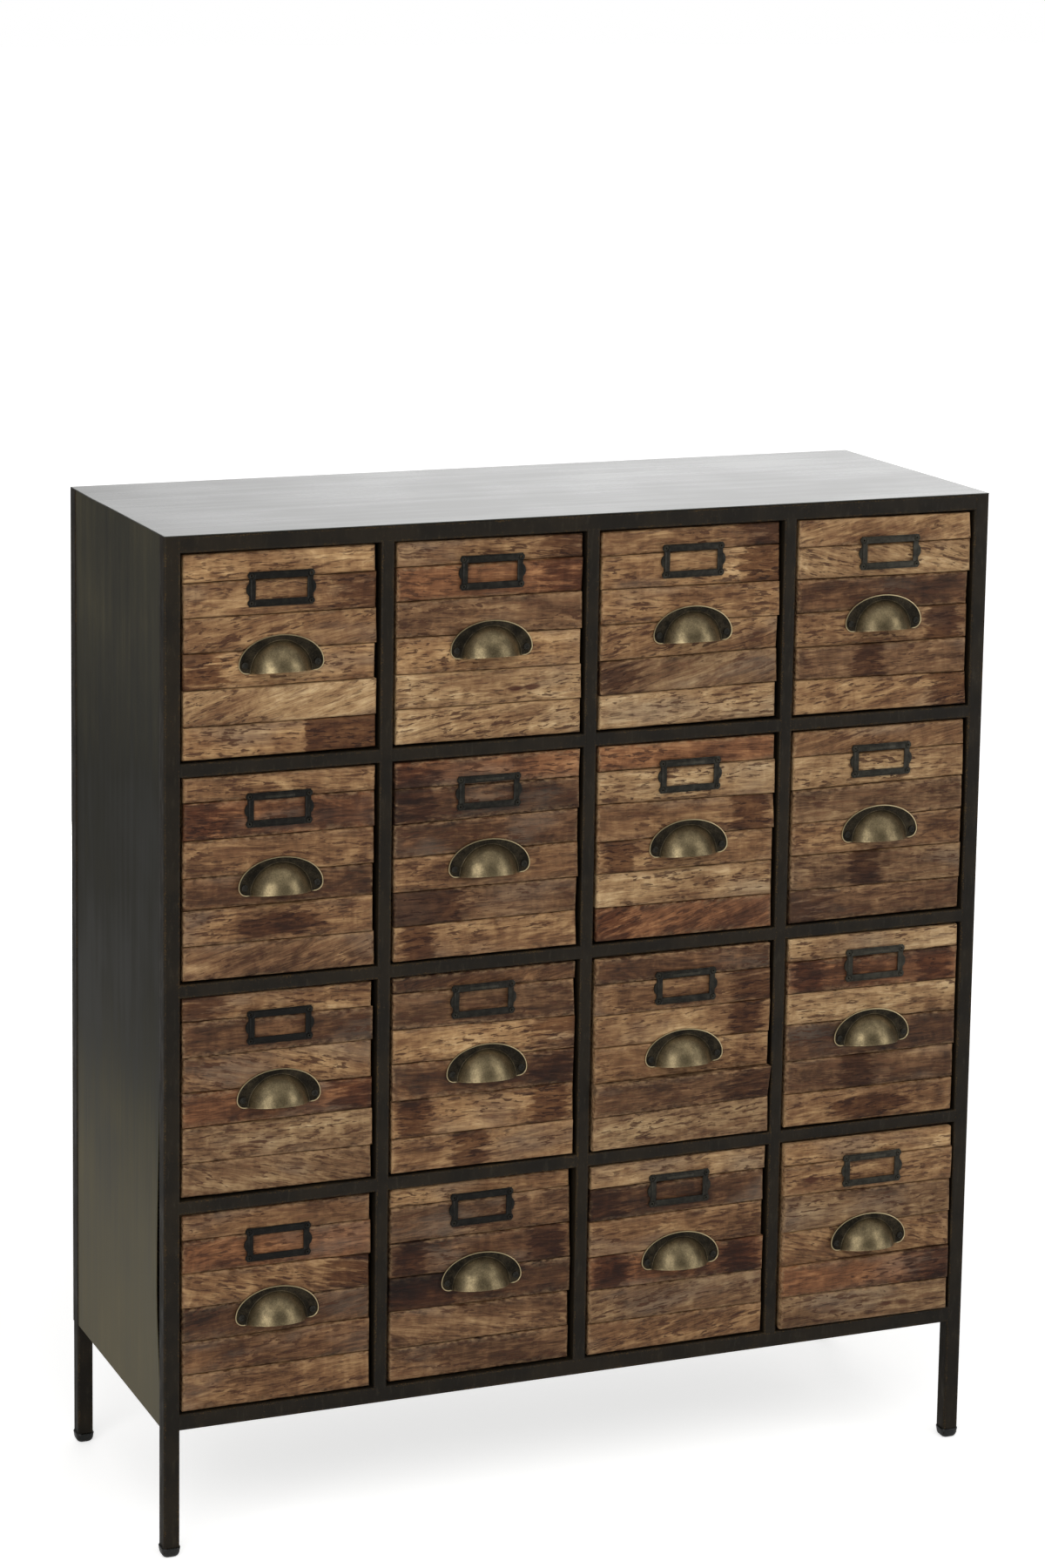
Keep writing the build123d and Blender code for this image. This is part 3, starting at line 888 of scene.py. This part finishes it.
def pull_flange(width, height):
    """The arched, rimmed plate of a pull: its back on y = 0, the middle of its lower edge at the origin."""
    bm = bmesh.new()
    facing = (0, -1, 0)
    half = width / 2
    inner = cup_width / 2
    arch_start = bm.verts.new((half, -pull_plate, pull_corner))
    arch_centre = (0, 0, pull_corner)
    bmesh.ops.spin(bm, geom=[arch_start], cent=arch_centre, axis=facing, angle=math.pi, steps=arch_steps)
    rise = (height - pull_corner) / half
    for vert in bm.verts:
        vert.co.z = pull_corner + (vert.co.z - pull_corner) * rise
    quarter = math.pi / 2
    toe_right = bm.verts.new((half - pull_corner, -pull_plate, 0))
    toe_centre = (half - pull_corner, 0, pull_corner)
    bmesh.ops.spin(bm, geom=[toe_right], cent=toe_centre, axis=facing, angle=quarter, steps=toe_steps)
    heel_left = bm.verts.new((-half, -pull_plate, pull_corner))
    heel_centre = (pull_corner - half, 0, pull_corner)
    bmesh.ops.spin(bm, geom=[heel_left], cent=heel_centre, axis=facing, angle=quarter, steps=toe_steps)
    cup_right = bm.verts.new((inner, -pull_plate, 0))
    bmesh.ops.spin(bm, geom=[cup_right], cent=(0, 0, 0), axis=facing, angle=math.pi, steps=mouth_steps)
    bm.edges.new((toe_right, cup_right))
    lowest = [vert for vert in bm.verts if abs(vert.co.z) < merge_close and vert.co.x < 0]
    bm.edges.new(sorted(lowest, key=lambda vert: vert.co.x)[:2])
    bmesh.ops.remove_doubles(bm, verts=bm.verts, dist=merge_close)
    bmesh.ops.edgenet_fill(bm, edges=bm.edges)
    field = bm.faces[:]
    for face in field:
        face.normal_update()
        if face.normal.y > 0:
            face.normal_flip()
    polish = bm.verts.layers.float.new("polish")
    bmesh.ops.inset_region(bm, faces=field, thickness=pull_rim, use_even_offset=True, use_boundary=True)
    for vert in bm.verts:
        by_cup = math.hypot(vert.co.x, vert.co.z) < inner + 2 * pull_rim
        vert[polish] = seam_polish if by_cup else rim_polish
    bmesh.ops.inset_region(
        bm,
        faces=field,
        thickness=pull_rim_slope,
        depth=-pull_rim_height,
        use_even_offset=True,
        use_boundary=True,
    )
    for face in field:
        for vert in face.verts:
            vert[polish] = field_polish
    outline = [edge for edge in bm.edges if edge.is_boundary]
    walls = bmesh.ops.extrude_edge_only(bm, edges=outline)
    for vert in [item for item in walls["geom"] if isinstance(item, bmesh.types.BMVert)]:
        vert.co.y = 0
        vert[polish] = field_polish
    round_over(bm, outline, pull_edge, 2)
    return bm


def pull_cup(reach):
    """Half of a round cap with some thickness, open below, its rubbed lip lifted towards the front."""
    bm = bmesh.new()
    half = cup_width / 2
    round_radius = (half**2 + reach**2) / (2 * reach)
    centre = (0, round_radius - reach, 0)
    opening = math.asin(half / round_radius)
    polish = bm.verts.layers.float.new("polish")
    tip = bm.verts.new((0, -reach, 0))
    bmesh.ops.spin(bm, geom=[tip], cent=centre, axis=(0, 0, 1), angle=opening, steps=cup_profile_steps)
    profile = bm.verts[:] + bm.edges[:]
    turn = math.pi
    bmesh.ops.spin(bm, geom=profile, cent=(0, 0, 0), axis=(0, -1, 0), angle=turn, steps=cup_turn_steps)
    bmesh.ops.remove_doubles(bm, verts=bm.verts, dist=merge_close)
    lip_start = Vector((0, -pull_plate, 0))
    lip_up = Vector((0, cup_lip_rise, reach - pull_plate)).normalized()
    everything = bm.verts[:] + bm.edges[:] + bm.faces[:]
    bmesh.ops.bisect_plane(bm, geom=everything, plane_co=lip_start, plane_no=lip_up, clear_inner=True)
    bmesh.ops.recalc_face_normals(bm, faces=bm.faces)
    if sum(face.normal.y for face in bm.faces) > 0:
        bmesh.ops.reverse_faces(bm, faces=bm.faces)
    for vert in bm.verts:
        vert[polish] = cup_polish + cup_polish_gain * -vert.co.y / reach
    bmesh.ops.solidify(bm, geom=bm.faces[:], thickness=pull_wall)
    for edge in bm.edges:
        at_lip = all(abs((vert.co - lip_start).dot(lip_up)) < lip_near for vert in edge.verts)
        if at_lip and edge.calc_length() > pull_wall * 1.2:
            for vert in edge.verts:
                vert[polish] = lip_polish
    return bm


def screw_heads(middle, low, seat):
    """The two cross-slotted screws of a pull."""
    bm = bmesh.new()
    for side in (-1, 1):
        head = bmesh.new()
        bmesh.ops.create_grid(head, x_segments=5, y_segments=5, size=1)
        for vert in head.verts:
            spot = [screw_grid_shares[round(vert.co[way], 1)] for way in (0, 1)]
            edge_share = max(abs(spot[0]), abs(spot[1]))
            flat = Vector((spot[0], spot[1], 0))
            if edge_share > 0.9:
                flat = flat.normalized()
            vert.co = Vector((flat.x, flat.y, screw_dome_share * (1 - flat.length_squared)))
        arms = [
            face
            for face in head.faces
            if min(abs(face.calc_center_median().x), abs(face.calc_center_median().y)) < 0.1
            and face.calc_center_median().length < 0.6
        ]
        sunk = bmesh.ops.extrude_face_region(head, geom=arms)
        sunk_verts = [item for item in sunk["geom"] if isinstance(item, bmesh.types.BMVert)]
        bmesh.ops.delete(head, geom=arms, context="FACES_ONLY")
        bmesh.ops.translate(head, vec=(0, 0, -screw_recess / screw_head), verts=sunk_verts)
        outer = [edge for edge in head.edges if edge.is_boundary]
        skirt = bmesh.ops.extrude_edge_only(head, edges=outer)
        skirt_verts = [item for item in skirt["geom"] if isinstance(item, bmesh.types.BMVert)]
        bmesh.ops.translate(head, vec=(0, 0, -screw_height / screw_head), verts=skirt_verts)
        bmesh.ops.recalc_face_normals(head, faces=head.faces)
        bmesh.ops.scale(head, vec=Vector((1, 1, 1)) * screw_head, verts=head.verts)
        slot_turn = Matrix.Rotation(math.radians(screw_turn + screw_turn_apart * side), 3, "Z")
        bmesh.ops.rotate(head, cent=(0, 0, 0), matrix=slot_turn, verts=head.verts)
        to_front = Matrix.Rotation(math.radians(90), 3, "X")
        bmesh.ops.rotate(head, cent=(0, 0, 0), matrix=to_front, verts=head.verts)
        spot = Vector((middle + side * pull_screw_spacing / 2, seat - screw_height, low + pull_corner))
        bmesh.ops.translate(head, vec=spot, verts=head.verts)
        gather(bm, head)
    return bm


def tell_pale(bm, pale):
    """Tells the iron finish how pale a piece is."""
    layer = bm.verts.layers.float.new("pale")
    for vert in bm.verts:
        vert[layer] = pale


def holder_pins(middle_x, middle_z, seat, pale):
    """Four hollow rivets at the corners of a label holder."""
    bm = bmesh.new()
    for side in (-1, 1):
        for level in (-1, 1):
            pin = bmesh.new()
            ring = pin_head - pin_ring
            first = pin.verts.new((ring + pin_ring, 0, 0))
            bmesh.ops.spin(
                pin,
                geom=[first],
                cent=(ring, 0, 0),
                axis=(0, 0, -1),
                angle=math.pi,
                steps=pin_ring_steps,
            )
            profile = pin.verts[:] + pin.edges[:]
            bmesh.ops.spin(
                pin,
                geom=profile,
                cent=(0, 0, 0),
                axis=(0, 1, 0),
                angle=2 * math.pi,
                steps=pin_turn_steps,
                use_merge=True,
            )
            bmesh.ops.remove_doubles(pin, verts=pin.verts, dist=merge_same)
            bmesh.ops.recalc_face_normals(pin, faces=pin.faces)
            tell_pale(pin, pale + pin_pale)
            spot = (middle_x + side * pin_spacing_across / 2, seat, middle_z + level * pin_spacing_up / 2)
            bmesh.ops.translate(pin, vec=spot, verts=pin.verts)
            gather(bm, pin)
    return bm


def softened_holder(node, pale):
    """A label holder from a copy of its CAD node, with its edges rounded as a stamping's are."""
    bm = bmesh.new()
    bm.from_mesh(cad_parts[node].data)
    bmesh.ops.remove_doubles(bm, verts=bm.verts, dist=merge_same)
    bmesh.ops.dissolve_limit(bm, angle_limit=holder_flat, verts=bm.verts, edges=bm.edges)
    folds = [edge for edge in bm.edges if len(edge.link_faces) == 2]
    sharp = [edge for edge in folds if edge.calc_face_angle() > holder_sharp]
    round_over(bm, sharp, holder_edge, 2)
    tell_pale(bm, pale)
    return bm


def card_tab(middle_x, middle_z, front, pale):
    """The tab pressed out of a holder's top bar, over the slot for the card."""
    half = Vector((tab_length, tab_depth, tab_height)) / 2
    middle = Vector((middle_x, front - tab_rise + half.y, middle_z + tab_level))
    bm = box_mesh(middle - half, middle + half)
    front_edges = [edge for edge in bm.edges if edge.verts[0].co.y < middle.y]
    round_over(bm, front_edges, tab_rise * tab_round_share, 2)
    tell_pale(bm, pale + tab_pale)
    return bm


def foot_caps(material):
    """The four caps under the posts, narrower below and softened all round."""
    bm = bmesh.new()
    for points in solids_of("feet"):
        low, high = corners(points)
        cap = box_mesh(low, high)
        sole_low, sole_high = corners([point for point in points if point.z < foot_sole])
        share = (sole_high.x - sole_low.x) / (high.x - low.x)
        middle = (low + high) / 2
        for vert in cap.verts:
            if vert.co.z < middle.z:
                vert.co.x = middle.x + (vert.co.x - middle.x) * share
                vert.co.y = middle.y + (vert.co.y - middle.y) * share
        upright = [edge for edge in cap.edges if rise_of(edge) > foot_upright]
        round_over(cap, upright, foot_corner, 5)
        under = [edge for edge in cap.edges if all(vert.co.z < middle.z for vert in edge.verts)]
        under = [edge for edge in under if rise_of(edge) < foot_level]
        round_over(cap, under, foot_round, 5)
        rim = [edge for edge in cap.edges if all(vert.co.z > high.z - foot_level for vert in edge.verts)]
        round_over(cap, rim, foot_rim_round, 3)
        gather(bm, cap)
    piece_of("foot_caps", bm, material, "carcass", ["feet"])


def swell(spot):
    """A slow wave between nothing and one."""
    return 0.5 + 0.5 * noise.noise(spot)


def dented_top(spot, low, high):
    """How far the top sinks at a spot: a dent by its rear left corner, and a slight wave."""
    dent = hill(spot.x, low.x, dent_across) * hill(spot.y, high.y - dent_inset, dent_along)
    wave = swell((spot.x * top_wave_pitch[0], spot.y * top_wave_pitch[1], 2))
    return Vector((0, 0, -dent_depth * dent - top_wave * wave))


def sprung_side(spot, low, high):
    """How far the left sheet moves at a spot: its front edge springs out and back low down."""
    level = spot.z - low.z
    front_edge = ease(spot.y, low.y + spring_reach, low.y)
    half_height = spring_above if level > spring_level else spring_below
    sprung = hill(level, spring_level, half_height) * front_edge
    wave = swell((spot.y * side_wave_pitch[0], spot.z * side_wave_pitch[1], 5))
    return Vector((side_wave * wave - spring_out * sprung, spring_back * sprung * front_edge, 0))


def flat_side(spot, low, high):
    """How far the right sheet moves at a spot: a slight wave."""
    wave = swell((spot.y * side_wave_pitch[0], spot.z * side_wave_pitch[1], 11))
    return Vector((-side_wave * wave, 0, 0))


def steel_case():
    """The tubes, sheets, runners and feet."""
    paint_coat = frame_paint()
    side_steel = ((0.3, "1a1911"), (0.5, "28261c"), (0.62, "403d30"), (0.8, "625c48"), (1.0, "787059"))
    back_steel = ((0.3, "302e28"), (0.5, "3b3931"), (0.75, "4a473c"))
    top_steel = ((0.25, "393935"), (0.5, "494a45"), (0.75, "5c5b54"))
    # The last pair: how much paler each sheet gets towards the bottom and towards the top
    side_sheet = sheet_finish("side_sheet", (1, 1, 0.06), side_steel, (0.42, 0.56), 0.0, (0.39, 0.21))
    back_sheet = sheet_finish("back_sheet", (1, 1, 0.06), back_steel, (0.42, 0.56), 0.0, (0.1, 0.05))
    top_sheet = sheet_finish("top_sheet", (0.06, 1, 1), top_steel, (0.24, 0.34), 0.55, (0.0, 0.0))
    tube_frame("front_uprights", "front_posts", paint_coat, False)
    tube_frame("rear_uprights", "rear_posts", paint_coat, False)
    tube_frame("front_rails", "front_grid", paint_coat, True)
    tube_frame("back_rails", "rear_frame", paint_coat, True)
    tube_frame("side_ties", "side_rails", paint_coat, True)
    dress("drawer_runners", paint_coat)
    dress("bottom_panel", back_sheet)
    dress("back_panel", back_sheet)

    pressed_sheet("top_sheet", "top_panel", top_cuts, dented_top, top_sheet)
    pressed_sheet("left_sheet", "left_side_panel", left_cuts, sprung_side, side_sheet)
    pressed_sheet("right_sheet", "right_side_panel", right_cuts, flat_side, side_sheet)
    foot_caps(foot_rubber())


def drawers():
    """All sixteen drawers: planks, box, pull and label holder."""
    wood = plank_wood()
    brass = aged_brass()
    iron = black_iron("black_iron", "100f0c", "454238")
    screw_iron = black_iron("screw_iron", "2a2822", "5d5747")
    low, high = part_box("cup_pull_r1c1")
    pull_shape = pull_flange(high.x - low.x, high.z - low.z)
    gather(pull_shape, pull_cup(cup_reach))
    pull_mesh = bpy.data.meshes.new("pull_shape")
    pull_shape.to_mesh(pull_mesh)
    pull_shape.free()
    for row in range(rows):
        for column in range(columns):
            place = f"r{row + 1}c{column + 1}"
            body = f"drawer_{place}"
            luck = random.Random(100 * row + column)
            drawer_wood(place, plank_looks[row][column], wood, luck)

            low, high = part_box(f"cup_pull_{place}")
            middle = (low + high) / 2
            mesh = pull_mesh.copy()
            mesh.transform(Matrix.Translation((middle.x, high.y, low.z)))
            placed(f"stamped_pull_{place}", mesh, brass, body, [f"cup_pull_{place}"])
            seat = high.y - pull_plate + pull_rim_height
            screws = screw_heads(middle.x, low.z, seat)
            piece_of(f"pull_screws_{place}", screws, screw_iron, body, [])

            node = f"label_holder_{place}"
            low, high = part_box(node)
            middle = (low + high) / 2
            pale = pale_by_column * column + luck.uniform(0, pale_play)
            piece_of(f"stamped_holder_{place}", softened_holder(node, pale), iron, body, [node])
            pins = holder_pins(middle.x, middle.z, high.y - holder_plate, pale)
            if place in tabbed_holders:
                gather(pins, card_tab(middle.x, middle.z, low.y, pale))
            piece_of(f"holder_pins_{place}", pins, iron, body, [])
    bpy.data.meshes.remove(pull_mesh)


def studio():
    """A pale floor and background, soft lamps and the camera."""
    bm = bmesh.new()
    bmesh.ops.create_grid(bm, x_segments=1, y_segments=1, size=floor_half)
    mesh = bpy.data.meshes.new("floor")
    bm.to_mesh(mesh)
    bm.free()
    pale = Finish("pale_floor")
    speckle = pale.noise(pale.place(), 3, 2)
    pale.set("Base Color", pale.blend(speckle, paint("e9e8e6"), paint("f0efed")))
    pale.set("Roughness", 0.9)
    pale.set("Specular IOR Level", 0.1)
    pale.set("Emission Color", paint("ffffff"))
    reach = pale.node("VectorMath", {0: pale.place()}, "Value", operation="LENGTH")
    glow = pale.between(reach, *floor_glow_reach, *floor_glow)
    pale.set("Emission Strength", pale.times(pale.node("LightPath", {}, "Is Camera Ray"), glow))
    mesh.materials.append(pale.owner)
    floor = bpy.data.objects.new("floor", mesh)
    bpy.context.scene.collection.objects.link(floor)

    sky = Finish("studio", world=True)
    bpy.context.scene.world = sky.owner
    way = sky.node("TexCoord", {}, "Generated")
    shown = room_level
    for panel_way, start, full, strength in panels:
        facing = sky.node("VectorMath", {0: way, 1: panel_way}, "Value", operation="DOT_PRODUCT")
        panel = sky.between(facing, start, full, 0.0, strength)
        shown = sky.node("Math", {0: shown, 1: panel}, operation="MAXIMUM")
    glossy = sky.node("LightPath", {}, "Is Glossy Ray")
    sheer = sky.node("LightPath", {}, "Is Transmission Ray")
    seen_in_metal = sky.node("Math", {0: glossy, 1: sheer}, operation="MAXIMUM")
    level = sky.part_way(seen_in_metal, room_light, shown)
    level = sky.part_way(sky.node("LightPath", {}, "Is Camera Ray"), level, 1.0)
    sky.set("Color", paint("ffffff"))
    sky.set("Strength", level)

    for name, spot, size, power, mirrored in lamps:
        lamp = bpy.data.lights.new(name, "AREA")
        lamp.shape = "RECTANGLE"
        lamp.size, lamp.size_y = size
        lamp.energy = power
        stand = bpy.data.objects.new(name, lamp)
        stand.location = spot
        stand.rotation_euler = (lamp_target - Vector(spot)).to_track_quat("-Z", "Y").to_euler()
        stand.visible_glossy = mirrored
        bpy.context.scene.collection.objects.link(stand)

    back = Vector(
        (
            math.sin(camera_azimuth) * math.cos(camera_elevation),
            -math.cos(camera_azimuth) * math.cos(camera_elevation),
            math.sin(camera_elevation),
        )
    )
    camera = bpy.data.cameras.new("camera")
    camera.lens = camera_lens
    camera.shift_x, camera.shift_y = camera_shift
    view = bpy.data.objects.new("camera", camera)
    aim = (-back).to_track_quat("-Z", "Y").to_matrix() @ Matrix.Rotation(camera_roll, 3, "Z")
    view.matrix_world = Matrix.Translation(camera_place) @ aim.to_4x4()
    bpy.context.scene.collection.objects.link(view)
    bpy.context.scene.camera = view
    bpy.context.scene.view_settings.view_transform = "Standard"


steel_case()
drawers()
studio()
